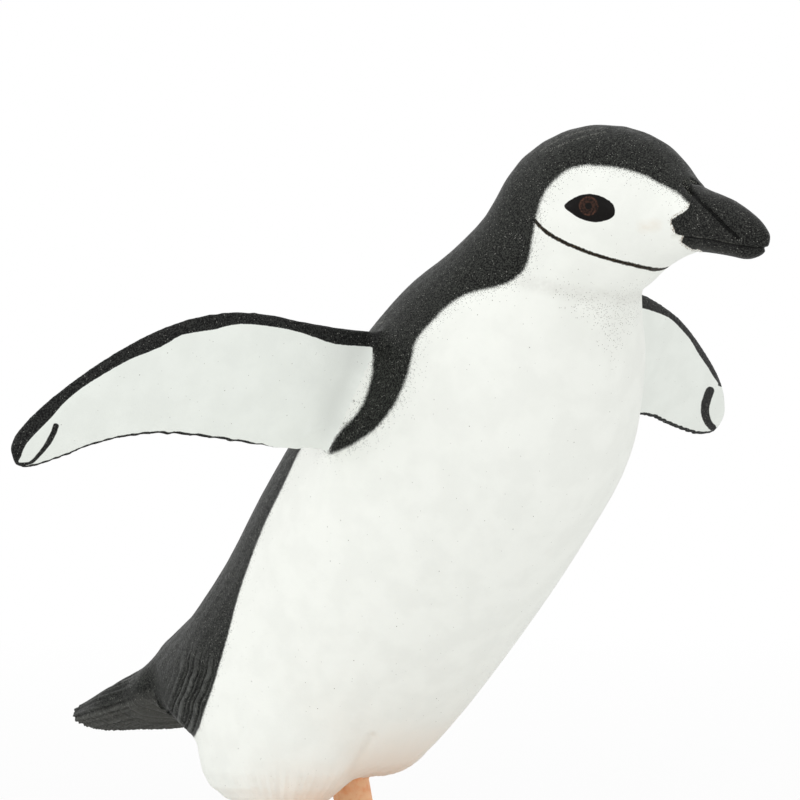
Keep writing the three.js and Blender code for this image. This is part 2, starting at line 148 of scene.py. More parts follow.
# Each flipper's stripe, its mark with half its width at both ends, and the line on its rear edge
FLIPPER_STROKES = [
    ("flipper_right", RIGHT_STRIPE, RIGHT_MARK, (0.26, 0.14), 0.34),
    ("flipper_left", LEFT_STRIPE, LEFT_MARK, (0.4, 0.3), 0.4),
]
FLIPPER_LINE_START = 17

# Painted warm light reflected from the legs, where they come out of the belly
LEG_BOUNCE_AREA = [
    (300, 800), (330, 772), (352, 752), (372, 735), (400, 730), (432, 735), (420, 790), (380, 830),
    (300, 830),
]

# Carved lines on the bill and the body, each with half its width and its depth; the mouth comes last
BILL_PIT = [(685, 181), (688, 187), (690, 191)]
BILL_GROOVE = [(686, 183), (697, 197), (706, 206), (716, 217), (727, 229), (737, 238)]
MOUTH = [(674, 237), (690, 239), (708, 241), (724, 244), (740, 247), (756, 249), (780, 249)]
THROAT = [(520, 281), (545, 287), (580, 296), (615, 300), (650, 300)]
THIGH_FRONT = [(372, 738), (363, 756), (351, 777), (335, 800), (322, 830)]
BILL_LINES = ((BILL_GROOVE, 0.22, 0.34), (BILL_PIT, 0.2, 0.3), (MOUTH, 0.16, 0.26))
BODY_LINES = ((THROAT, 1.3, 0.25), (THIGH_FRONT, 0.4, 0.3))
EYE_RISE, STRAND_DEPTH, RAGGED_DEPTH = 0.14, 0.1, 0.2

# Edges with a painted highlight along them, a smudge on the cheek and specks below the throat
LIP = [(694, 237), (708, 239), (724, 242), (738, 245)]
CROWN = [(540, 151), (556, 141), (575, 133), (604, 128)]
CROWN_LOWER = [(550, 151), (566, 143), (586, 136), (606, 132)]
SHOULDER_HIGHLIGHT = [(371, 327), (385, 321)]
SKIRT_HIGHLIGHT = [(164, 716), (175, 720), (183, 725)]
EDGE_HIGHLIGHTS = (LIP, CROWN, CROWN_LOWER, SHOULDER_HIGHLIGHT, SKIRT_HIGHLIGHT)
SMUDGE = [(643, 227), (656, 225)]
THROAT_DUST = [(560, 292), (600, 297), (652, 298), (650, 366), (624, 366), (606, 330), (580, 312)]

# Paint: distances that stand for far from a border and well within it, and how coats lie on the figure
FAR, DEEP = 9.0, 3.0
MOUTH_MARGIN = 0.06
STRAP_HALF_WIDTH = 0.17
LEG_BLUR = 24
# Shares of painted shade between the strands and of painted highlight on their ridges
STRAND_SHADE_AND_HIGHLIGHT, FLANK_SHADE_AND_HIGHLIGHT = (0.4, 0.24), (0.24, 0.42)
COAT_RELIEF, BEAK_RELIEF = 0.03, 0.025
EYE_ROUGHNESS, FOOT_GLOSS = 0.3, 0.25

# Body: the hip in the middle plane, its back's direction, the tail's direction and the thighs' middles
TAIL_REACH = 29.4
BODY_LEAN = math.radians(41)
BODY_HIP = (0, CAD_BOX[1][1] / MM - TAIL_REACH, 15.4)
DORSAL = (0, math.cos(BODY_LEAN), math.sin(BODY_LEAN))
TAIL_ROOT = (0, BODY_HIP[1] + 15.5, 14.2)
TAIL_AXIS = (0, 0.965, -0.264)
FLANK_HEIGHT = 10.7
FLANK_TIP = (193, 739)
STRAND_WIDTH = 0.42
FLANK_CRISPNESS = 2.2

# The breast, which is a little flatter to both sides, and the thighs, which are fuller behind
BREAST_HEIGHTS, BREAST_WIDTH, BREAST_DEPTH = (40, 54), 10.5, 0.25
THIGH_FULLNESS, THIGH_TOP = 0.8, 10.0
SIDEWAYS, AHEAD = 0.695, 0.719
THIGH_AXES = {1: (5.2, BODY_HIP[1] - 2.6), -1: (-5.4, BODY_HIP[1] - 0.9)}

# Feet: each ankle and its turn outward, the toes' lengths up to their claws and their spread
ANKLES = {"foot_left": (4.5, 11.34, 9), "foot_right": (-6.0, 12.74, -9)}
MIDDLE_TOE, SIDE_TOE = 14.5, 12.8
TOE_SPREAD = 20

# Colours as they are painted, in the display's numbers
WHITE_LIGHT, WHITE_SHADE = (246, 248, 242), (242, 244, 238)
COOL_LIGHT, COOL_SHADE = (242, 246, 240), (238, 242, 236)
DUST = (156, 154, 146)
# Painted shade for the throat's crease
PAINTED_CREASE_SHADE = (208, 207, 200)
BLACK_DEEP, BLACK_PALE, BLACK_SPECK = (6, 6, 6), (55, 57, 53), (146, 146, 140)
# Painted shade in the carved hollows and painted highlight on the ridges
HOLLOW_SHADE_BLACK, RIDGE_HIGHLIGHT_GREY = (5, 5, 5), (112, 114, 110)
# Pale of the scratches by the bill's pit, also used for the painted highlights along edges
SCRATCH_AND_HIGHLIGHT = (150, 150, 142)
# Painted highlight along the tail's underside
TAIL_UNDERSIDE_HIGHLIGHT = (90, 90, 86)
BEAK_DEEP, BEAK_PALE = (12, 12, 12), (54, 55, 52)
BRUSH_DEEP, BRUSH_PALE = (14, 14, 14), (50, 51, 49)
STRAP_DARK, STRAP_BROWN = (24, 21, 17), (70, 60, 44)
STAIN_BROWN = (112, 90, 64)
EYE_BLACK, IRIS_BROWN = (18, 16, 15), (80, 53, 42)
# Painted warm light reflected from the legs, and the cheek smudge's own tint
LEG_BOUNCE_TINT, SMUDGE_TINT = (246, 243, 234), (228, 216, 198)
FOOT_DEEP, FOOT_PALE = (245, 177, 130), (252, 206, 164)

# Light and floor: each lamp's place to the right, up and toward the camera, its size and its level
AMBIENT = 0.79
LAMPS = {
    "key": (-420, 40, 120, 360, 0.21), "top": (0, 430, 60, 400, 0.14),
    "front": (0, 60, 430, 420, 0.11), "fill": (330, 120, 240, 400, 0.06),
}
FLOOR_RADIUS = 900
FLOOR_GLOW = 0.86
FLOOR_FADE = (50, 250)
FLOOR_GAP = 0.02
FLOOR_GREY, WHITE = (0.9, 0.9, 0.9, 1), (1, 1, 1, 1)


# Photograph

def camera_axes():
    """The camera's place and its right, up and backward directions."""
    turn, rise = math.radians(CAMERA_AZIMUTH), math.radians(CAMERA_ELEVATION)
    flat = math.cos(rise)
    back = np.array([math.sin(turn) * flat, -math.cos(turn) * flat, math.sin(rise)])
    right = np.array([math.cos(turn), math.sin(turn), 0.0])
    place = np.array(CAMERA_TARGET) + CAMERA_DISTANCE * back
    return place, right, np.cross(back, right), back


def photo_pixels(points):
    """Where points fall in the photograph."""
    place, right, up, back = camera_axes()
    offset = points - place
    scale = CAMERA_DISTANCE / PIXEL / -(offset @ back)
    middle = PHOTO_SIDE / 2
    return np.stack([middle + scale * (offset @ right), middle - scale * (offset @ up)], axis=1)


def curved(spots, closed):
    """Smooth curves through the spots of an outline or a line, in short straight steps."""
    middle = np.array(spots, float)
    if closed:
        before, after, beyond = (np.roll(middle, shift, axis=0) for shift in (1, -1, -2))
    else:
        ends = np.concatenate([middle[:1], middle, middle[-1:]])
        before, middle, after, beyond = ends[:-3], ends[1:-2], ends[2:-1], ends[3:]
    bend, twist = 2 * before - 5 * middle + 4 * after - beyond, 3 * (middle - after) + beyond - before
    steps = [middle + ((after - before) * t + bend * t**2 + twist * t**3) / 2 for t in (0, 1 / 3, 2 / 3)]
    path = np.stack(steps, axis=1).reshape(-1, 2)
    return path if closed else np.concatenate([path, ends[-1:]])


def inside(pixels, outline):
    """Distance to a closed outline in millimetres, positive within it."""
    spots = curved(outline, True)
    nearest = np.full(len(pixels), np.inf)
    within = np.zeros(len(pixels), bool)
    for start, end in zip(spots, np.roll(spots, -1, axis=0)):
        run, offset = end - start, pixels - start
        share = np.clip(offset @ run / (run @ run), 0, 1)
        nearest = np.minimum(nearest, np.linalg.norm(offset - share[:, None] * run, axis=1))
        if run[1]:
            crosses = (start[1] > pixels[:, 1]) != (end[1] > pixels[:, 1])
            within ^= crosses & (offset[:, 0] < run[0] * offset[:, 1] / run[1])
    return np.where(within, nearest, -nearest) * PIXEL


def beside(pixels, line):
    """Signed distance across an open line and the way along it, both in millimetres."""
    spots = curved(line, False)
    nearest = np.full(len(pixels), np.inf)
    across, along = np.zeros(len(pixels)), np.zeros(len(pixels))
    passed = 0.0
    for start, end in zip(spots[:-1], spots[1:]):
        run, offset = end - start, pixels - start
        length = np.linalg.norm(run)
        share = np.clip(offset @ run / length**2, 0, 1)
        distance = np.linalg.norm(offset - share[:, None] * run, axis=1)
        side = np.sign(run[0] * offset[:, 1] - run[1] * offset[:, 0])
        closer = distance < nearest
        nearest = np.where(closer, distance, nearest)
        across = np.where(closer, side * distance, across)
        along = np.where(closer, passed + share * length, along)
        passed += length
    return across * PIXEL, along * PIXEL


# Meshes

def numbers(items, key, width, kind=np.float64):
    """One property of all vertices, edges, faces or corners as an array."""
    values = np.empty(len(items) * width, kind)
    items.foreach_get(key, values)
    return values.reshape(-1, width) if width > 1 else values


def points_of(mesh):
    return numbers(mesh.vertices, "co", 3)


def normals_of(mesh):
    return numbers(mesh.vertices, "normal", 3)


def move_points(mesh, points):
    mesh.vertices.foreach_set("co", points.ravel())
    mesh.update()


def corners_of(mesh):
    """The vertex of every face's corner."""
    return numbers(mesh.loops, "vertex_index", 1, np.int32)


def sizes_of(mesh):
    """How many corners each face has."""
    return numbers(mesh.polygons, "loop_total", 1, np.int32)


def placed(name, data):
    """A new object in the scene."""
    thing = bpy.data.objects.new(name, data)
    bpy.context.scene.collection.objects.link(thing)
    return thing


def remeshed(mesh):
    """The outside of a mesh in even small faces; the mesh itself is used up."""
    stock = placed("stock", mesh)
    remesh = stock.modifiers.new("remesh", "REMESH")
    remesh.mode = "VOXEL"
    remesh.voxel_size = VOXEL
    graph = bpy.context.evaluated_depsgraph_get()
    made = bpy.data.meshes.new_from_object(stock.evaluated_get(graph))
    bpy.data.objects.remove(stock)
    bpy.data.meshes.remove(mesh)
    return made


def joined(meshes):
    """All faces of several meshes in one; the meshes themselves are used up."""
    made = bmesh.new()
    for mesh in meshes:
        made.from_mesh(mesh)
        bpy.data.meshes.remove(mesh)
    whole = bpy.data.meshes.new("joined")
    made.to_mesh(whole)
    made.free()
    return whole


def groups(items, beside):
    """The items in groups that hang together, given what lies beside each."""
    left = dict.fromkeys(items)
    found = []
    while left:
        group = [left.popitem()[0]]
        for item in group:
            for other in beside(item):
                if other in left:
                    del left[other]
                    group.append(other)
        found.append(group)
    return found


def vertices_beside(vertex):
    return [edge.other_vert(vertex) for edge in vertex.link_edges]


def edges_beside(edge):
    return [other for vertex in edge.verts for other in vertex.link_edges]


def outer_shell(mesh):
    """The mesh without any closed shell inside it."""
    made = bmesh.new()
    made.from_mesh(mesh)
    for shell in sorted(groups(made.verts, vertices_beside), key=len)[:-1]:
        bmesh.ops.delete(made, geom=shell, context="VERTS")
    made.to_mesh(mesh)
    made.free()


class Net:
    """The edges of a mesh, for means over the points round each point."""

    def __init__(self, edges, size):
        self.edges = edges
        self.count = np.bincount(edges.ravel(), minlength=size).astype(float)

    def mean(self, values):
        total = np.zeros_like(values)
        first, second = self.edges.T
        for axis in range(values.shape[1]):
            total[:, axis] += np.bincount(first, values[second, axis], len(values))
            total[:, axis] += np.bincount(second, values[first, axis], len(values))
        return total / self.count[:, None]

    def blurred(self, values, rounds):
        """The values with borders between them that grow soft over the rounds."""
        share = values.astype(float)[:, None]
        for _ in range(rounds):
            share = (share + self.mean(share)) / 2
        return share[:, 0]

    def near_border(self, chosen):
        """One at the border of the chosen points, and less away from it."""
        share = self.blurred(chosen, CREASE_BLUR)
        return 4 * share * (1 - share)


def net_of(mesh):
    return Net(numbers(mesh.edges, "vertices", 2, np.int32), len(mesh.vertices))


def eased(points, net, strength, rounds):
    """Points with small facets smoothed away, keeping the bulk."""
    for _ in range(rounds):
        for push in (EASING_IN, EASING_OUT):
            points = points + push * strength[:, None] * (net.mean(points) - points)
    return points


def tree_of(points):
    """A tree that finds the nearest of the points."""
    tree = KDTree(len(points))
    for n, spot in enumerate(points):
        tree.insert(spot, n)
    tree.balance()
    return tree


class Mouldings:
    """Which moulding is nearest to a place."""

    def __init__(self, meshes):
        self.names = list(meshes)
        clouds = [points_of(mesh) for mesh in meshes.values()]
        self.owner = np.concatenate([np.full(len(cloud), n) for n, cloud in enumerate(clouds)])
        self.tree = tree_of(np.concatenate(clouds))

    def nearest(self, points):
        return self.owner[[self.tree.find(spot)[1] for spot in points]]


def cad_meshes():
    """The CAD mouldings in millimetres, in even small faces."""
    made = {}
    for name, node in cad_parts.items():
        stock = node.data.copy()
        stock.transform(Matrix.Scale(1 / MM, 4))
        made[name] = remeshed(stock)
    return made


def whole_skin(meshes, mouldings):
    """One closed skin over all the mouldings, with filled joints and eased facets."""
    grown = []
    for mesh in meshes.values():
        stock = mesh.copy()
        move_points(stock, points_of(mesh) + JOINT_FILL * normals_of(mesh))
        grown.append(stock)
    skin = remeshed(joined(grown))
    outer_shell(skin)
    move_points(skin, points_of(skin) - JOINT_FILL * normals_of(skin))
    net = net_of(skin)
    easing = np.array([EASING[name] for name in mouldings.names])
    strength = net.blurred(easing[mouldings.nearest(points_of(skin))], EASING_BLUR)
    move_points(skin, eased(points_of(skin), net, strength, EASING_ROUNDS))
    fill_creases(skin, net, crease_shares(skin, net, mouldings))
    return skin


def crease_shares(skin, net, mouldings):
    """How far each point is lifted: by the roots of the tail and flippers, and at the thighs."""
    points = points_of(skin)
    owner = mouldings.nearest(points)
    height = points[:, 2]
    tail = net.near_border(owner == mouldings.names.index("tail"))
    share = TAIL_FILLING * tail * ramp(height, SKIRT_HEIGHT - 1, SKIRT_HEIGHT + 1)
    for name in FLIPPERS:
        root = net.near_border(owner == mouldings.names.index(name))
        share = np.maximum(share, FLIPPER_FILLING * root)
    body = np.isin(owner, [mouldings.names.index(name) for name in BODY])
    return np.maximum(share, THIGH_FILLING * body * ramp(-height, -THIGH_HEIGHT - 2, -THIGH_HEIGHT + 2))


def fill_creases(skin, net, shares):
    """Rounds hollow creases by lifting their points toward the mean round them, then relaxes folds."""
    near = net.edges[(shares[net.edges] > LEAST_SHARE).any(axis=1)]
    used, index = np.unique(near, return_inverse=True)
    local = Net(index.reshape(-1, 2), len(used))
    share = shares[used]
    for turn in range(FILLING_ROUNDS):
        if turn % NORMALS_EVERY == 0:
            points, normals = points_of(skin), normals_of(skin)[used]
        pull = local.mean(points[used]) - points[used]
        lift = share * np.maximum((pull * normals).sum(axis=1), 0)
        points[used] += lift[:, None] * normals
        if turn % NORMALS_EVERY == NORMALS_EVERY - 1:
            move_points(skin, points)
    deep = ramp(share, *RELAXED_SHARES)[:, None]
    for _ in range(RELAXING_ROUNDS):
        points[used] += deep * (local.mean(points[used]) - points[used]) / 2
    move_points(skin, points)


def near_side(vectors, points=None):
    """Points or normals of the left side mirrored to the right side, which the camera sees."""
    mirrored = vectors.copy()
    mirrored[(vectors if points is None else points)[:, 0] > 0, 0] *= -1
    return mirrored


def fine_places(points):
    """Where the skin needs smaller faces: the face, the beak, the flanks, the tail and the flippers."""
    across, down = photo_pixels(near_side(points)).T
    face = (across > FACE_LEFT) & (down > FACE_TOP) & (down < FACE_BOTTOM)
    flank = (down > FLANK_TOP) & (across < FLANK_RIGHT)
    return face | flank | (np.abs(points[:, 0]) > FLIPPERS_FROM)


def parted_on_middle(skin):
    """The skin with an edge along the middle plane and smaller faces where it needs them."""
    made = bmesh.new()
    made.from_mesh(skin)
    everything = made.verts[:] + made.edges[:] + made.faces[:]
    bmesh.ops.bisect_plane(made, geom=everything, dist=VOXEL / 10, plane_co=(0, 0, 0), plane_no=(1, 0, 0))
    for vertex in made.verts:
        if abs(vertex.co.x) < VOXEL / 9:
            vertex.co.x = 0
    made.verts.ensure_lookup_table()
    fine = fine_places(np.array([vertex.co for vertex in made.verts]))
    made.verts.index_update()
    edges = [edge for edge in made.edges if fine[edge.verts[0].index] and fine[edge.verts[1].index]]
    bmesh.ops.subdivide_edges(made, edges=edges, cuts=1, use_grid_fill=True)
    made.to_mesh(skin)
    made.free()
    points = points_of(skin)
    strength = np.where(fine_places(points) & (points[:, 0] != 0), FINE_EASING, 0.0)
    move_points(skin, eased(points, net_of(skin), strength, FINE_ROUNDS))


def flipper_axes(points):
    """A flipper's directions along it, toward its leading edge and toward its outer face."""
    along, chordwise, outward = np.linalg.svd(points - points.mean(axis=0), full_matrices=False)[2]
    return along, chordwise * np.sign(chordwise[2]), outward * np.sign(outward[1])


def widen_flippers(skin):
    """Moves the leading and trailing edges of the flippers outward, and what lies between them less."""
    points = points_of(skin)
    for side, (leading, trailing) in FLIPPER_EDGES.items():
        mine = points[:, 0] * side > FLIPPERS_FROM
        along, chordwise, _ = flipper_axes(points[mine])
        station, chord = points[mine] @ along, points[mine] @ chordwise
        ends = np.linspace(station.min(), station.max(), FLIPPER_STATIONS + 1)
        bins = np.clip(np.digitize(station, ends) - 1, 0, FLIPPER_STATIONS - 1)
        middles = (ends[:-1] + ends[1:]) / 2
        front = np.interp(station, middles, [chord[bins == n].max() for n in range(FLIPPER_STATIONS)])
        rear = np.interp(station, middles, [chord[bins == n].min() for n in range(FLIPPER_STATIONS)])
        share = np.clip((2 * chord - front - rear) / (front - rear), -1, 1)
        lift = np.where(share > 0, leading, -trailing) * share**2
        lift *= ramp(points[mine, 0] * side, FLIPPERS_FROM, FLIPPERS_FROM + 5)
        points[mine] += lift[:, None] * chordwise
    move_points(skin, points)


class Surface:
    """The skin's points with their normals, mouldings and places in the photograph."""

    def __init__(self, skin, mouldings):
        toward = camera_axes()[3]
        self.points = points_of(skin)
        self.normals = normals_of(skin)
        self.net = net_of(skin)
        self.names = mouldings.names
        self.face_owner = face_owners(skin, self.points, mouldings)
        corner = corners_of(skin)
        self.members = np.zeros((len(self.points), len(self.names)), bool)
        self.members[corner, self.face_owner[face_numbers(skin)[0]]] = True
        self.pixels = photo_pixels(self.points)
        self.near_pixels = photo_pixels(near_side(self.points))
        self.lit = near_side(self.normals, self.points) @ toward
        self.seen = self.lit > 0
        self.faces_camera = self.normals @ toward > 0

    def of(self, *names):
        """The points on any face of these mouldings."""
        return self.members[:, [self.names.index(name) for name in names]].any(axis=1)


def ramp(values, low, high):
    """Zero below low, one above high and smooth between them."""
    share = np.clip((values - low) / (high - low), 0, 1)
    return share * share * (3 - 2 * share)


# Carving

def groove(surface, line, half_width, depth):
    """How deep a carved line goes at each point, on both sides of the figure."""
    across = beside(surface.near_pixels, line)[0]
    return depth * np.exp(-(across / half_width) ** 2) * ramp(surface.lit, 0.0, 0.3)


def strands(turn):
    """Uneven ridges over a turning angle, from zero to one."""
    uneven = turn + 1.3 * np.sin(0.31 * turn) + 0.8 * np.sin(0.73 * turn + 1)
    return 0.5 + 0.5 * np.sin(uneven)


def turn_round(points, centre, axis):
    """The angle of points round an axis in the middle plane, from its upper side."""
    axis = np.array(axis) / np.linalg.norm(axis)
    side = np.array([1.0, 0.0, 0.0])
    upper = np.cross(axis, side)
    offset = points - np.array(centre)
    return np.arctan2(offset @ side, offset @ upper)


def carved(surface):
    """Depths of all the carved lines and feathers, inward from the skin."""
    points = surface.points
    beak, tail, body = surface.of("beak"), surface.of("tail"), surface.of(*BODY)
    head = beak | body
    depth = sum(groove(surface, *values) for values in BILL_LINES) * head
    for values in BODY_LINES:
        depth += groove(surface, *values) * body
    depth += fullness(surface) * body
    eye = inside(surface.near_pixels, EYE)
    depth -= EYE_RISE * ramp(eye, -0.1, 0.6) * body * surface.seen
    depth += STRAND_DEPTH * feathers(surface) + STRAND_DEPTH * thigh_strands(points) * body
    ragged = ramp(-surface.normals[:, 2], 0.2, 0.8) * strands(points[:, 1] * 5 + points[:, 0] * 7)
    depth -= RAGGED_DEPTH * tail * ragged
    return depth


def feathers(surface):
    """Strands along the tail and down the flank, from minus one on their ridges to one between them."""
    reach = np.linalg.norm(surface.near_pixels - np.array(FLANK_TIP), axis=1) * PIXEL
    border = inside(surface.near_pixels, BACK)
    place = ramp(border, 0.05, 0.4) * ramp(-border, -4.2, -2.8) * ramp(surface.lit, 0.0, 0.3)
    place *= ramp(reach, 0.3, 1) * ramp(-reach, -9.0, -5.0) * surface.of(*BODY)
    turn = 2 * math.pi / STRAND_WIDTH * border + 1.1 * np.sin(1.4 * reach)
    flank = strands(turn + 0.6 * np.sin(3.3 * reach))
    beyond_root = ramp((surface.points - np.array(TAIL_ROOT)) @ np.array(TAIL_AXIS), 1, 6)
    round_tail = turn_round(surface.points, TAIL_ROOT, TAIL_AXIS)
    tail = strands(round_tail * 60)
    return place * (2 * flank - 1) + beyond_root * (2 * tail - 1) * surface.of("tail")


def fullness(surface):
    """Depths that flatten the breast and fill out the thighs, on both sides of the figure."""
    sideways, ahead = SIDEWAYS * np.abs(surface.normals[:, 0]), AHEAD * -surface.normals[:, 1]
    height = surface.points[:, 2]
    low, high = BREAST_HEIGHTS
    breast = ramp(sideways + ahead, 0.5, 0.95) * ramp(height, low - 3, low + 3)
    breast *= ramp(-height, -high - 2, -high + 2)
    breast *= ramp(-np.abs(surface.points[:, 0]), -BREAST_WIDTH - 1.5, -BREAST_WIDTH + 1)
    thigh = ramp(sideways - ahead, 0.3, 0.9) * ramp(-height, -THIGH_TOP, -THIGH_TOP + 4)
    return BREAST_DEPTH * breast - THIGH_FULLNESS * thigh


def thigh_strands(points):
    """Strands that run together under each thigh."""
    turn = np.zeros(len(points))
    for side, (across, back) in THIGH_AXES.items():
        mine = points[:, 0] * side > 0
        turn[mine] = np.arctan2(points[mine, 1] - back, points[mine, 0] - across)
    return ramp(-points[:, 2], -9, -6.5) * strands(turn * 50)


def carve(skin, surface):
    depth = carved(surface)
    moved = surface.points - depth[:, None] * surface.normals
    moved[surface.points[:, 0] == 0, 0] = 0
    low, high = (np.array(corner) / MM for corner in CAD_BOX)
    move_points(skin, np.clip(moved, low, high))


# Paint

def sprayed_black(surface):
    """Distance into the sprayed hood and back, positive in the black."""
    flank = FLANK_CRISPNESS * inside(surface.near_pixels, BACK)
    borders = np.maximum(inside(surface.near_pixels, HOOD), flank)
    back = (surface.normals @ np.array(DORSAL) > 0.1) & (surface.points[:, 2] > FLANK_HEIGHT)
    return np.where(surface.seen, borders, np.where(back, DEEP, -DEEP))


def gape_black(surface):
    """Distance into the brushed black round the beak."""
    black = np.where(surface.seen, inside(surface.near_pixels, GAPE), -FAR)
    return np.where(surface.of("beak") & ~surface.seen, DEEP, black)


def flipper_black(surface, name, stripe, rim_line):
    """Distance into the brushed black of a flipper: its outer face, leading edge and trailing rim."""
    mine = surface.of(name)
    points, normals = surface.points[mine], surface.normals[mine]
    _, chordwise, outward = flipper_axes(points)
    outer = normals @ outward
    rim = points[(np.abs(outer) < 0.35) & (normals @ chordwise < -0.25)]
    tree = tree_of(rim)
    from_rim = np.array([tree.find(spot)[2] for spot in points])
    inward = np.abs(points[:, 0]) - FLIPPER_LINE_START
    line = rim_line * ramp(inward, 0, 6) - from_rim
    black = np.full(len(surface.points), -FAR)
    band = np.where(surface.seen[mine], inside(surface.near_pixels[mine], HOOD), -FAR)
    stripe_black = np.maximum(inside(surface.pixels[mine], stripe), band)
    black[mine] = np.maximum(np.maximum(outer, line), stripe_black)
    return black


def claw_black(surface):
    """Distance into the dark claws at the toes' ends."""
    black = np.full(len(surface.points), -FAR)
    for name, (across, back, turn) in ANKLES.items():
        mine = surface.of(name)
        sideways, ahead = surface.points[mine, 0] - across, back - surface.points[mine, 1]
        angle = np.degrees(np.arctan2(sideways, ahead)) - turn
        toe = np.clip(np.round(angle / TOE_SPREAD), -1, 1)
        along = np.hypot(sideways, ahead) * np.cos(np.radians(angle - TOE_SPREAD * toe))
        black[mine] = along - np.where(toe == 0, MIDDLE_TOE, SIDE_TOE)
    return black


def from_line(surface, chosen, pixels, line):
    """Distance from a painted line and the way along it, on the chosen points."""
    found = np.zeros((len(surface.points), 3))
    found[:, 0] = FAR
    across, along = beside(pixels[chosen], line)
    found[chosen, 0], found[chosen, 1] = np.abs(across), along
    return found


def paint_layers(surface):
    """All painted borders as distances, by the name of the attribute that carries them."""
    body = surface.of(*BODY) & surface.seen
    head = (surface.of(*BODY) | surface.of("beak")) & surface.seen
    stroke = np.full(len(surface.points), -FAR)
    marks = []
    for name, stripe, mark, half_widths, rim_line in FLIPPER_STROKES:
        stroke = np.maximum(stroke, flipper_black(surface, name, stripe, rim_line))
        mine = surface.of(name) & surface.faces_camera
        offset, along = from_line(surface, mine, surface.pixels, mark)[:, :2].T
        marks.append(half_widths[0] + (half_widths[1] - half_widths[0]) * ramp(along, 0.6, 4.5) - offset)
    # Lines along edges that carry a painted highlight
    edge_lights = [from_line(surface, surface.seen, surface.near_pixels, line)[:, 0] for line in EDGE_HIGHLIGHTS]
    # Distances from the carved bill lines, which painted shade darkens
    hollow = [from_line(surface, head, surface.near_pixels, line)[:, 0] for line, *_ in BILL_LINES]
    hollow[-1] += MOUTH_MARGIN
    iris = np.zeros((len(surface.points), 3))
    iris[:, :2] = (surface.near_pixels - np.array(IRIS)) * PIXEL
    return {
        "spray": np.where(surface.of("beak") & ~surface.seen, DEEP, sprayed_black(surface)),
        "gape": gape_black(surface),
        "stroke": stroke,
        "eye": within(surface, body, EYE),
        "iris": iris,
        "strap": from_line(surface, body, surface.near_pixels, STRAP),
        "mark": np.maximum(*marks),
        # Distance from the throat's crease, where the painted shade lies
        "crease": from_line(surface, body, surface.near_pixels, THROAT)[:, 0],
        "dust": within(surface, body, THROAT_DUST),
        "pit": from_line(surface, head, surface.near_pixels, BILL_PIT)[:, 0],
        "edge_highlight": np.min(edge_lights, axis=0),
        "hollow": np.min(hollow, axis=0),
        "strand": feathers(surface),
        "smudge": from_line(surface, body, surface.near_pixels, SMUDGE)[:, 0],
        # Where painted warm light reflected from the legs falls
        "leg_bounce": within(surface, body, LEG_BOUNCE_AREA),
        # How far each point faces down, for the painted highlight under the tail
        "under": -surface.normals[:, 2],
        "leg": surface.net.blurred(surface.of(*ANKLES), LEG_BLUR) - 0.5,
        "claw": claw_black(surface),
    }


def within(surface, chosen, outline):
    """Distance into an outline on the chosen points, on both sides of the figure."""
    return np.where(chosen, inside(surface.near_pixels, outline), -FAR)


# Materials

def linear(red, green, blue):
    """A colour given in the display's numbers from 0 to 255."""
    shares = [value / 255 for value in (red, green, blue)]
    return [s / 12.92 if s <= 0.04045 else ((s + 0.055) / 1.055) ** 2.4 for s in shares] + [1.0]


class Nodes:
    """The nodes of a material or a world, with short ways to add to them."""

    def __init__(self, owner):
        owner.use_nodes = True
        self.tree = owner.node_tree
        self.tree.nodes.clear()

    def add(self, kind, inputs=None, **settings):
        node = self.tree.nodes.new(kind)
        for key, value in settings.items():
            setattr(node, key, value)
        for key, value in (inputs or {}).items():
            self.give(node.inputs[key], value)
        return node

    def give(self, socket, value):
        if isinstance(value, bpy.types.NodeSocket):
            self.tree.links.new(value, socket)
        else:
            socket.default_value = value

    def math(self, operation, *values, clamp=False):
        inputs = dict(enumerate(values))
        return self.add("ShaderNodeMath", inputs, operation=operation, use_clamp=clamp).outputs[0]


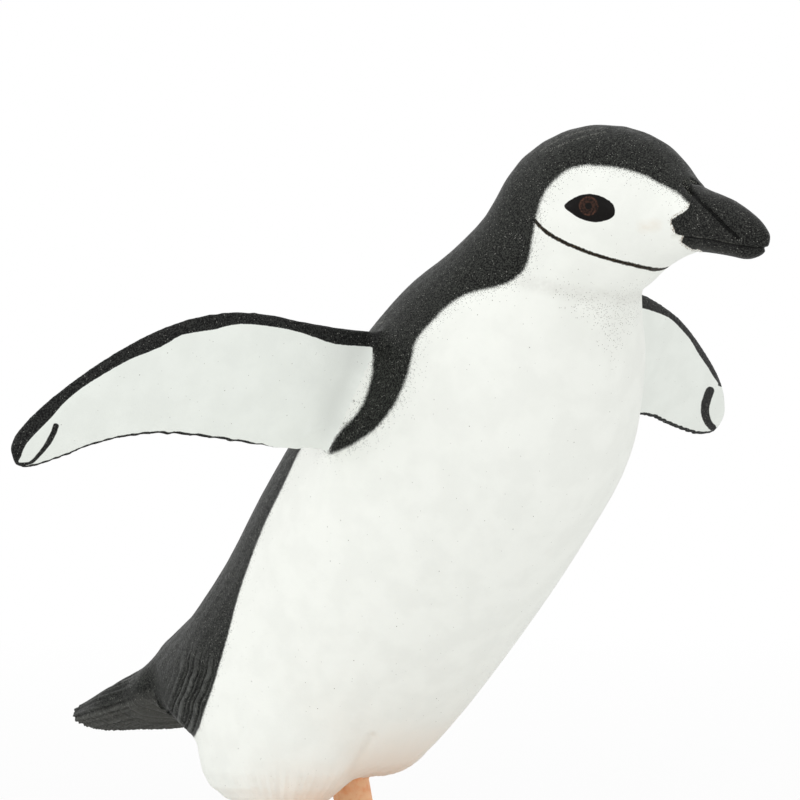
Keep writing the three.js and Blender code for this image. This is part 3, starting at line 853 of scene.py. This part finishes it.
class Paint(Nodes):
    """A painted material; places and distances are in millimetres, colours in the display's numbers."""

    def __init__(self, name):
        self.material = bpy.data.materials.new(name)
        super().__init__(self.material)
        self.shader = self.add("ShaderNodeBsdfPrincipled")
        self.add("ShaderNodeOutputMaterial", {"Surface": self.shader.outputs["BSDF"]})
        place = self.add("ShaderNodeTexCoord").outputs["Object"]
        scaled = self.add("ShaderNodeVectorMath", {0: place, "Scale": 1 / MM}, operation="SCALE")
        self.place = scaled.outputs[0]

    def ramp(self, value, low, high, start=0.0, end=1.0):
        inputs = {"Value": value, "From Min": low, "From Max": high, "To Min": start, "To Max": end}
        return self.add("ShaderNodeMapRange", inputs, interpolation_type="SMOOTHSTEP").outputs["Result"]

    def mix(self, share, first, second):
        first, second = (linear(*c) if isinstance(c, tuple) else c for c in (first, second))
        return self.add("ShaderNodeMix", {0: share, 6: first, 7: second}, data_type="RGBA").outputs[2]

    def blend(self, share, first, second):
        return self.add("ShaderNodeMix", {0: share, 2: first, 3: second}, data_type="FLOAT").outputs[0]

    def noise(self, scale, detail=2.0):
        inputs = {"Vector": self.place, "Scale": scale, "Detail": detail}
        return self.add("ShaderNodeTexNoise", inputs).outputs["Fac"]

    def specks(self, scale, share, size):
        """Round specks in a share of cells, with their size as a part of the cell."""
        cells = self.add("ShaderNodeTexVoronoi", {"Vector": self.place, "Scale": scale})
        chance = self.add("ShaderNodeSeparateColor", {0: cells.outputs["Color"]}).outputs[0]
        chosen = self.math("LESS_THAN", chance, share)
        spot = self.ramp(cells.outputs["Distance"], size * 0.6, size, 1.0, 0.0)
        return self.math("MULTIPLY", chosen, spot)

    def measure(self, name):
        return self.add("ShaderNodeAttribute", attribute_name=name)

    def distance(self, name):
        return self.measure(name).outputs["Fac"]

    def pair(self, name):
        parts = self.add("ShaderNodeSeparateXYZ", {0: self.measure(name).outputs["Vector"]})
        return parts.outputs[0], parts.outputs[1]

    def wander(self, scale, reach):
        """Noise from minus half its reach to plus half."""
        return self.math("MULTIPLY_ADD", self.noise(scale), reach, -reach / 2)

    def finish(self, colour, roughness, height, depth, gloss=0.1):
        """Wires the colour, roughness and a fine relief of a depth in millimetres."""
        bump = self.add("ShaderNodeBump", {"Height": height, "Distance": depth * MM, "Strength": 0.6})
        self.give(self.shader.inputs["Base Color"], colour)
        self.give(self.shader.inputs["Roughness"], roughness)
        self.give(self.shader.inputs["Normal"], bump.outputs["Normal"])
        self.shader.inputs["Specular IOR Level"].default_value = gloss
        return self.material


def sprayed(paint, distance):
    """A sprayed border: its edge breaks into grains, with specks of overspray beyond it."""
    edge = paint.math("ADD", distance, paint.wander(9, 0.5))
    edge = paint.math("ADD", edge, paint.wander(1.1, 0.2))
    solid = paint.ramp(edge, -0.18, 0.18)
    density = paint.math("EXPONENT", paint.math("MULTIPLY", distance, 3.0))
    mist = paint.specks(13, density, 0.42)
    return paint.math("MAXIMUM", solid, mist)


def brushed(paint, distance, waver=0.12):
    """A brushed border, crisp and a little wavy."""
    edge = paint.math("ADD", distance, paint.wander(1.3, waver))
    edge = paint.math("ADD", edge, paint.wander(5, waver))
    return paint.ramp(edge, -0.03, 0.04)


def black_coat(paint, deep=BLACK_DEEP, pale=BLACK_PALE):
    """Sprayed black: fine dark and grey grains, with a few paler ones."""
    grain = paint.mix(paint.ramp(paint.noise(8, 2), 0.44, 0.58), deep, pale)
    sparkle = paint.specks(6, 0.2, 0.26)
    return paint.mix(sparkle, grain, BLACK_SPECK)


def relief_shade_and_highlight(paint, colour, shade_and_highlight=STRAND_SHADE_AND_HIGHLIGHT):
    """Painted shade in the carved lines and between the strands, and painted highlights on the strands'
    ridges.
    """
    line = paint.ramp(paint.distance("hollow"), 0.05, 0.22, 0.9, 0.0)
    patchy = paint.ramp(paint.noise(1.1, 3), 0.38, 0.62, 0.2, 1.0)
    strand = paint.math("MULTIPLY", paint.distance("strand"), patchy)
    shade_share, highlight_share = shade_and_highlight
    dark = paint.math("MAXIMUM", line, paint.math("MULTIPLY", strand, shade_share))
    ridge_highlight = paint.math("MULTIPLY", strand, -highlight_share, clamp=True)
    return paint.mix(ridge_highlight, paint.mix(dark, colour, HOLLOW_SHADE_BLACK), RIDGE_HIGHLIGHT_GREY)


def scratched_and_highlit(paint, colour):
    """Pale scratched spots at the top of the bill's base, and painted highlights along a few edges."""
    near_pit = paint.ramp(paint.distance("pit"), 0.12, 0.32, 1.0, 0.0)
    # Painted highlights along a few edges
    on_edge = paint.ramp(paint.distance("edge_highlight"), 0.02, 0.12, 1.0, 0.0)
    pit = paint.math("MULTIPLY", near_pit, paint.ramp(paint.noise(9), 0.56, 0.62))
    edge = paint.math("MULTIPLY", on_edge, paint.ramp(paint.noise(4), 0.42, 0.62, 0.0, 0.34))
    return paint.mix(paint.math("MAXIMUM", pit, edge), colour, SCRATCH_AND_HIGHLIGHT)


def stained(paint, colour):
    """A ragged brown stain beside the black round the gape."""
    edge = paint.math("ADD", paint.distance("gape"), paint.wander(5, 0.5))
    stain = paint.math("MULTIPLY", paint.ramp(edge, -0.3, -0.02), paint.ramp(paint.noise(7), 0.42, 0.58))
    return paint.mix(paint.math("MULTIPLY", stain, 0.8), colour, STAIN_BROWN)


def white_coat(paint, light, shade):
    """Sprayed white: slightly uneven, with a few dark specks."""
    uneven = paint.mix(paint.ramp(paint.noise(0.35, 3), 0.35, 0.65), shade, light)
    dust = paint.math("MAXIMUM", paint.specks(0.9, 0.5, 0.05), paint.specks(2.2, 0.3, 0.08))
    return paint.mix(dust, uneven, DUST)


def coat_relief(paint, black):
    """Height and roughness of the coats."""
    height = paint.math("ADD", paint.noise(5, 3), paint.math("MULTIPLY", paint.noise(14, 1), 0.4))
    roughness = paint.ramp(paint.noise(3, 2), 0.3, 0.7, 0.5, 0.66)
    return height, paint.math("SUBTRACT", roughness, paint.math("MULTIPLY", black, 0.08))


def head_black(paint):
    """Where the sprayed hood and back or the brushed black round the gape cover the white."""
    gape = brushed(paint, paint.distance("gape"))
    return paint.math("MAXIMUM", sprayed(paint, paint.distance("spray")), gape)


def body_paint():
    paint = Paint("body_paint")
    colour = white_coat(paint, WHITE_LIGHT, WHITE_SHADE)
    colour = throat_shade(paint, colour)
    # Painted warm light reflected from the orange legs onto the belly and thighs
    leg_bounce = paint.ramp(paint.math("ADD", paint.distance("leg_bounce"), paint.wander(0.5, 2.0)), -1.5, 2.5)
    colour = paint.mix(leg_bounce, colour, LEG_BOUNCE_TINT)
    smudge = paint.ramp(paint.distance("smudge"), 0.0, 0.9, 0.6, 0.0)
    smudge = paint.math("MULTIPLY", smudge, paint.noise(2, 3))
    colour = paint.mix(smudge, colour, SMUDGE_TINT)
    colour = legs_on(paint, colour)
    strap, strap_colour = strap_line(paint)
    colour = paint.mix(strap, stained(paint, colour), strap_colour)
    black = head_black(paint)
    colour = paint.mix(black, colour, scratched_and_highlit(paint, relief_shade_and_highlight(paint, black_coat(paint), FLANK_SHADE_AND_HIGHLIGHT)))
    eye, iris = eye_dots(paint)
    colour = paint.mix(eye, colour, EYE_BLACK)
    colour = paint.mix(iris, colour, IRIS_BROWN)
    height, roughness = coat_relief(paint, black)
    roughness = paint.blend(eye, roughness, EYE_ROUGHNESS)
    return paint.finish(colour, roughness, height, COAT_RELIEF)


def legs_on(paint, colour):
    """The flesh colour of the legs over a coat that ends where they begin."""
    uneven = paint.ramp(paint.noise(0.9, 3), 0.35, 0.65)
    flesh = paint.mix(uneven, FOOT_DEEP, FOOT_PALE)
    return paint.mix(paint.ramp(paint.distance("leg"), -0.05, 0.05), colour, flesh)


def throat_shade(paint, colour):
    """Painted shade in the throat's crease, and dark specks below it."""
    crease = paint.ramp(paint.distance("crease"), 0.1, 1.1, 0.5, 0.0)
    colour = paint.mix(paint.math("MULTIPLY", crease, paint.noise(3, 3)), colour, PAINTED_CREASE_SHADE)
    density = paint.ramp(paint.distance("dust"), -1.6, 1.5, 0.0, 0.6)
    return paint.mix(paint.specks(8, density, 0.36), colour, DUST)


def strap_line(paint):
    """The thin rough line under the chin and its streaky colour."""
    width = paint.math("ADD", paint.wander(1.5, 0.1), STRAP_HALF_WIDTH)
    width = paint.math("ADD", width, paint.wander(7, 0.2))
    line = paint.ramp(paint.math("SUBTRACT", width, paint.pair("strap")[0]), -0.05, 0.05)
    streaks = paint.ramp(paint.noise(8, 2), 0.5, 0.66)
    return line, paint.mix(streaks, STRAP_DARK, STRAP_BROWN)


def eye_dots(paint):
    """The black eye and the ring of its iris."""
    eye = paint.ramp(paint.math("ADD", paint.distance("eye"), paint.wander(3, 0.1)), -0.03, 0.03)
    across, down = paint.pair("iris")
    squares = paint.math("ADD", paint.math("POWER", across, 2), paint.math("POWER", down, 2))
    reach = paint.math("ADD", paint.math("SQRT", squares), paint.wander(4, 0.12))
    outer = paint.math("MULTIPLY", paint.ramp(reach, 0.6, 0.76), paint.ramp(reach, 0.8, 0.92, 1.0, 0.0))
    inner = paint.math("MULTIPLY", paint.ramp(reach, 0.26, 0.36), paint.ramp(reach, 0.36, 0.9, 0.55, 0.25))
    inner = paint.math("MULTIPLY", inner, paint.ramp(reach, 0.76, 0.88, 1.0, 0.0))
    rings = paint.math("MAXIMUM", outer, inner)
    blotched = paint.math("MULTIPLY", rings, paint.ramp(paint.noise(5, 3), 0.38, 0.6, 0.15, 1.0))
    return eye, paint.math("MULTIPLY", blotched, eye)


def flipper_paint():
    paint = Paint("flipper_paint")
    black = brushed(paint, paint.distance("stroke"), 0.07)
    mark = paint.ramp(paint.math("ADD", paint.distance("mark"), paint.wander(1.8, 0.12)), -0.04, 0.04)
    dark = paint.math("MAXIMUM", black, mark)
    coat = black_coat(paint, BRUSH_DEEP, BRUSH_PALE)
    colour = paint.mix(dark, white_coat(paint, COOL_LIGHT, COOL_SHADE), coat)
    height, roughness = coat_relief(paint, dark)
    return paint.finish(colour, roughness, height, COAT_RELIEF)


def beak_paint():
    paint = Paint("beak_paint")
    coat = scratched_and_highlit(paint, relief_shade_and_highlight(paint, black_coat(paint, BEAK_DEEP, BEAK_PALE)))
    black = head_black(paint)
    colour = paint.mix(black, stained(paint, white_coat(paint, WHITE_LIGHT, WHITE_SHADE)), coat)
    roughness = paint.ramp(paint.noise(2), 0.3, 0.7, 0.4, 0.52)
    return paint.finish(colour, roughness, paint.noise(4, 3), BEAK_RELIEF)


def tail_paint():
    paint = Paint("tail_paint")
    # Painted highlight: the black turns grey where the tail faces down
    underside_light = paint.math("ADD", paint.distance("under"), paint.wander(1.2, 0.8))
    colour = paint.mix(paint.ramp(underside_light, 0.1, 0.8, 0.0, 0.6), black_coat(paint), TAIL_UNDERSIDE_HIGHLIGHT)
    colour = relief_shade_and_highlight(paint, colour)
    height, roughness = coat_relief(paint, 1.0)
    return paint.finish(colour, roughness, height, COAT_RELIEF)


def foot_paint():
    paint = Paint("foot_paint")
    colour = legs_on(paint, white_coat(paint, WHITE_LIGHT, WHITE_SHADE))
    claw = brushed(paint, paint.distance("claw"))
    colour = paint.mix(claw, colour, black_coat(paint))
    height, roughness = coat_relief(paint, claw)
    return paint.finish(colour, roughness, height, COAT_RELIEF, FOOT_GLOSS)


# Pieces

def face_numbers(skin):
    """The face of every corner, and pairs of faces that share an edge."""
    total = sizes_of(skin)
    face = np.repeat(np.arange(len(total)), total)
    order = np.argsort(numbers(skin.loops, "edge_index", 1, np.int32), kind="stable")
    return face, face[order].reshape(-1, 2)


def face_owners(skin, points, mouldings):
    """The moulding of every face, by its corners and then by the faces round it."""
    corner = corners_of(skin)
    face, pairs = face_numbers(skin)
    kinds, count = len(mouldings.names), len(skin.polygons)
    owner = mouldings.nearest(points)[corner]
    votes = np.stack([np.bincount(face, owner == n, count) for n in range(kinds)], axis=1)
    for _ in range(OWNER_ROUNDS):
        own = np.eye(kinds)[votes.argmax(axis=1)]
        votes = own.copy()
        for n in range(kinds):
            votes[:, n] += np.bincount(pairs[:, 0], own[pairs[:, 1], n], count)
            votes[:, n] += np.bincount(pairs[:, 1], own[pairs[:, 0], n], count)
    owners = votes.argmax(axis=1)
    left = np.bincount(face, points[corner, 0], count) > 0
    left_half, right_half = (mouldings.names.index(name) for name in BODY)
    body = np.isin(owners, (left_half, right_half))
    return np.where(body, np.where(left, left_half, right_half), owners)


def part_mesh(name, skin, chosen, layers):
    """The chosen faces of the skin as a mesh of their own, closed where they end."""
    corner = corners_of(skin)
    total = sizes_of(skin)
    used, index = np.unique(corner[np.repeat(chosen, total)], return_inverse=True)
    mesh = bpy.data.meshes.new(name)
    mesh.vertices.add(len(used))
    mesh.vertices.foreach_set("co", (points_of(skin)[used] * MM).ravel())
    mesh.loops.add(len(index))
    mesh.loops.foreach_set("vertex_index", index.astype(np.int32))
    mesh.polygons.add(int(chosen.sum()))
    starts = np.concatenate([[0], np.cumsum(total[chosen])[:-1]])
    mesh.polygons.foreach_set("loop_start", starts.astype(np.int32))
    mesh.update(calc_edges=True)
    for key, values in layers.items():
        kind, field = ("FLOAT", "value") if values.ndim == 1 else ("FLOAT_VECTOR", "vector")
        layer = mesh.attributes.new(key, kind, "POINT")
        layer.data.foreach_set(field, values[used].ravel().astype(np.float32))
    closed(mesh, name in BODY)
    own_normals(mesh, normals_of(skin)[used], int(chosen.sum()))
    return mesh


def closed(mesh, halved):
    """Fills the openings where the faces were parted, first those on the middle plane."""
    made = bmesh.new()
    made.from_mesh(mesh)
    border = [edge for edge in made.edges if edge.is_boundary]
    flat = [edge for edge in border if halved and edge.verts[0].co.x == edge.verts[1].co.x == 0]
    bridges = bridged(made, flat)
    if flat:
        fill_middle(made, flat + bridges)
    on_middle = set(flat)
    for loop in groups([edge for edge in border if edge not in on_middle] + bridges, edges_beside):
        fan(made, loop)
    made.to_mesh(mesh)
    made.free()


def fan(made, loop):
    """Fills a loop of edges with faces round its middle, turned like the faces beside it."""
    corners = [edge.link_loops[0] for edge in loop]
    middle = np.mean([corner.vert.co for corner in corners], axis=0)
    tip = made.verts.new(middle, corners[0].vert)
    for corner in corners:
        made.faces.new((corner.link_loop_next.vert, corner.vert, tip))


def fill_middle(made, loop):
    """Fills an outline on the middle plane with faces that are turned like those beside it."""
    filled = bmesh.ops.triangle_fill(made, edges=loop, normal=(1, 0, 0))
    faces = [item for item in filled["geom"] if isinstance(item, bmesh.types.BMFace)]
    bmesh.ops.recalc_face_normals(made, faces=faces)
    border = [edge for edge in loop if edge.is_manifold]
    if sum(edge.is_contiguous for edge in border) < len(border) / 2:
        bmesh.ops.reverse_faces(made, faces=faces)


def bridged(made, flat):
    """New edges that close the middle outline where the beak and the tail interrupt it."""
    counts = {}
    for edge in flat:
        for vertex in edge.verts:
            counts[vertex] = counts.get(vertex, 0) + 1
    ends = [vertex for vertex, count in counts.items() if count == 1]
    bridges = []
    while ends:
        start = ends.pop()
        end = min(ends, key=lambda vertex: (vertex.co - start.co).length)
        ends.remove(end)
        bridges.append(made.edges.new((start, end)))
    return bridges


def own_normals(mesh, normals, shown):
    """Keeps the whole skin's shading on the shown faces, so that no joint shows as an edge."""
    corner = corners_of(mesh)
    total = sizes_of(mesh)
    flat = np.repeat(numbers(mesh.polygons, "normal", 3), total, axis=0)
    cap = np.repeat(np.arange(len(total)) >= shown, total)
    on_skin = np.minimum(corner, len(normals) - 1)
    mesh.polygons.foreach_set("use_smooth", np.ones(len(total), bool))
    mesh.normals_split_custom_set(np.where(cap[:, None], flat, normals[on_skin]))


def add_piece(name, mesh, material, slot):
    piece = placed(name + "_painted", mesh)
    mesh.materials.append(material)
    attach(piece, "root")
    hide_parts(name)


def build_figure():
    """All painted mouldings of the figure."""
    meshes = cad_meshes()
    mouldings = Mouldings(meshes)
    skin = whole_skin(meshes, mouldings)
    parted_on_middle(skin)
    widen_flippers(skin)
    surface = Surface(skin, mouldings)
    layers = paint_layers(surface)
    carve(skin, surface)
    white, flipper, foot = body_paint(), flipper_paint(), foot_paint()
    finishes = {
        "body_left_half": (white, "white_plumage"), "body_right_half": (white, "white_plumage"),
        "beak": (beak_paint(), "black_plumage"), "tail": (tail_paint(), "black_plumage"),
        "flipper_left": (flipper, "flipper_white"), "flipper_right": (flipper, "flipper_white"),
        "foot_left": (foot, "foot_flesh"), "foot_right": (foot, "foot_flesh"),
    }
    for n, name in enumerate(mouldings.names):
        add_piece(name, part_mesh(name, skin, surface.face_owner == n, layers), *finishes[name])
    for mesh in [skin, *meshes.values()]:
        bpy.data.meshes.remove(mesh)


# Stage

def add_floor():
    """A pale floor that shows white to the camera, apart from the figure's shadow."""
    made = bmesh.new()
    bmesh.ops.create_circle(made, cap_ends=True, segments=96, radius=FLOOR_RADIUS * MM)
    mesh = bpy.data.meshes.new("floor")
    made.to_mesh(mesh)
    made.free()
    floor = placed("floor", mesh)
    floor.location.z = CAD_BOX[0][2] - FLOOR_GAP * MM
    material = bpy.data.materials.new("floor")
    nodes = Nodes(material)
    matt = nodes.add("ShaderNodeBsdfDiffuse", {"Color": FLOOR_GREY})
    glow = nodes.add("ShaderNodeEmission")
    place = nodes.add("ShaderNodeTexCoord").outputs["Object"]
    reach = nodes.add("ShaderNodeVectorMath", {0: place}, operation="LENGTH").outputs["Value"]
    near, far = FLOOR_FADE
    limits = {"From Min": near * MM, "From Max": far * MM, "To Min": FLOOR_GLOW}
    fade = nodes.add("ShaderNodeMapRange", {"Value": reach, **limits}).outputs["Result"]
    seen = nodes.add("ShaderNodeLightPath").outputs["Is Camera Ray"]
    share = nodes.math("MULTIPLY", seen, fade)
    mixed = nodes.add("ShaderNodeMixShader", {0: share, 1: matt.outputs[0], 2: glow.outputs[0]})
    nodes.add("ShaderNodeOutputMaterial", {"Surface": mixed.outputs[0]})
    mesh.materials.append(material)


def add_world():
    """Soft light from all round, and a white background."""
    world = bpy.data.worlds.new("studio")
    bpy.context.scene.world = world
    nodes = Nodes(world)
    soft = nodes.add("ShaderNodeBackground", {"Color": WHITE, "Strength": AMBIENT})
    white = nodes.add("ShaderNodeBackground", {"Color": WHITE, "Strength": 1.0})
    rays = nodes.add("ShaderNodeLightPath").outputs
    chosen = rays["Is Camera Ray"]
    for kind in ("Is Glossy Ray", "Is Transmission Ray"):
        chosen = nodes.math("MAXIMUM", chosen, rays[kind])
    mixed = nodes.add("ShaderNodeMixShader", {0: chosen, 1: soft.outputs[0], 2: white.outputs[0]})
    nodes.add("ShaderNodeOutputWorld", {"Surface": mixed.outputs[0]})


def add_lamp(name, right, up, toward, size, level):
    """A soft lamp placed from the camera's directions, at a level of light where the figure stands."""
    axes = camera_axes()
    offset = right * axes[1] + up * axes[2] + toward * axes[3]
    lamp = bpy.data.lights.new(name, "AREA")
    lamp.shape = "DISK"
    lamp.size = size * MM
    lamp.energy = level * math.pi**2 * float(offset @ offset) * MM**2
    thing = placed(name, lamp)
    thing.location = Vector((np.array(CAMERA_TARGET) + offset) * MM)
    thing.rotation_euler = Vector(-offset).to_track_quat("-Z", "Y").to_euler()


def add_camera():
    place, right, up, back = camera_axes()
    data = bpy.data.cameras.new("camera")
    data.sensor_width = SENSOR
    data.lens = SENSOR * CAMERA_DISTANCE / CAMERA_WIDTH
    data.clip_start = CLIP_START * MM
    camera = placed("camera", data)
    turn = Matrix(np.array([right, up, back]).T).to_4x4()
    camera.matrix_world = Matrix.Translation(Vector(place * MM)) @ turn
    bpy.context.scene.camera = camera


def build_stage():
    add_floor()
    add_world()
    for name, values in LAMPS.items():
        add_lamp(name, *values)
    add_camera()
    bpy.context.scene.view_settings.view_transform = "Standard"


build_figure()
build_stage()
